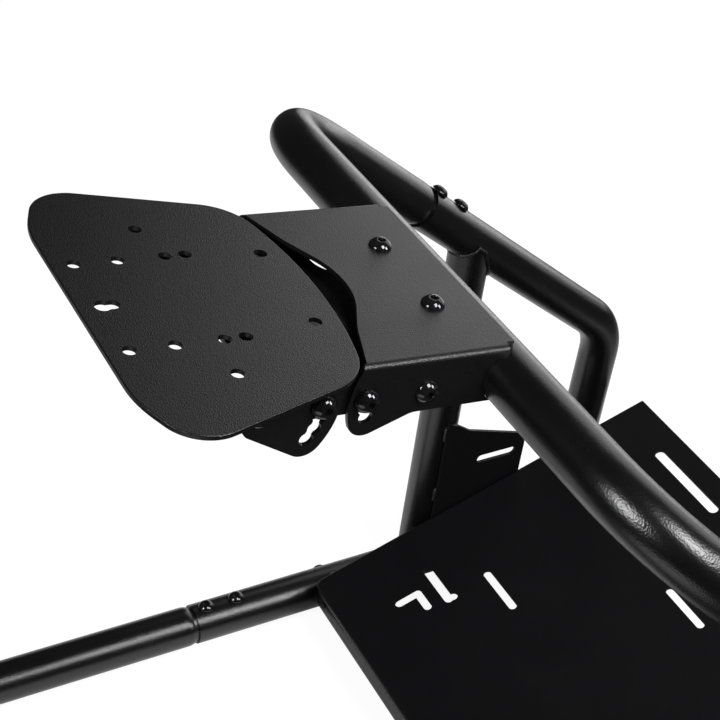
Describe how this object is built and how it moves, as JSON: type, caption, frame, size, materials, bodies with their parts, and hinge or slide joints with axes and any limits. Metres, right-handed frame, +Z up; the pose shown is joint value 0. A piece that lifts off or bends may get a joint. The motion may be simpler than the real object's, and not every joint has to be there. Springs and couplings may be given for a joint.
{
  "type": "sim racing cockpit front frame",
  "caption": "Black tubular cockpit frame with a wheel arch, tilting wheel plate on a notched link, and a sloped slotted pedal plate.",
  "frame": {"origin": "on the floor, below the middle of the wheel arch's cross tube", "axes": "+X forward to the pedals, +Y to the driver's left, +Z up"},
  "size_m": [0.9042, 0.582, 0.6306],
  "materials": {
    "frame_black": "fine textured black powder coat",
    "sheet_black": "fine textured black powder coat",
    "screw_black": "blackened steel, semi gloss",
    "foot_rubber": "matt black rubber"
  },
  "bodies": {
    "frame": {"wheel_arch": "frame_black", "side_frame_left": "frame_black", "side_frame_right": "frame_black", "post_left": "frame_black", "post_right": "frame_black", "rear_loop": "frame_black", "pedal_cross_tube": "frame_black", "pedal_plate": "sheet_black", "pedal_gusset_left": "sheet_black", "pedal_gusset_right": "sheet_black", "arch_tab": "sheet_black", "wheel_bracket": "sheet_black", "bracket_screws": "screw_black", "link_pivot_screws": "screw_black", "feet_front": "foot_rubber", "feet_middle": "foot_rubber", "feet_rear": "foot_rubber"},
    "tilt_link": {"tilt_link": "sheet_black", "link_lock_screws": "screw_black", "plate_lock_screws": "screw_black", "plate_pivot_screws": "screw_black"},
    "wheel_plate": {"wheel_plate": "sheet_black", "plate_ear_left": "sheet_black", "plate_ear_right": "sheet_black"}
  },
  "joints": [
    {"name": "link_tilt", "type": "hinge", "parent": "frame", "child": "tilt_link", "pos_m": [-0.05885, 0, 0.58569], "axis": [0, -1, 0], "range_deg": [0, 18]},
    {"name": "plate_tilt", "type": "hinge", "parent": "tilt_link", "child": "wheel_plate", "pos_m": [-0.16814, 0, 0.59814], "axis": [0, -1, 0], "range_deg": [0, 33]}
  ]
}
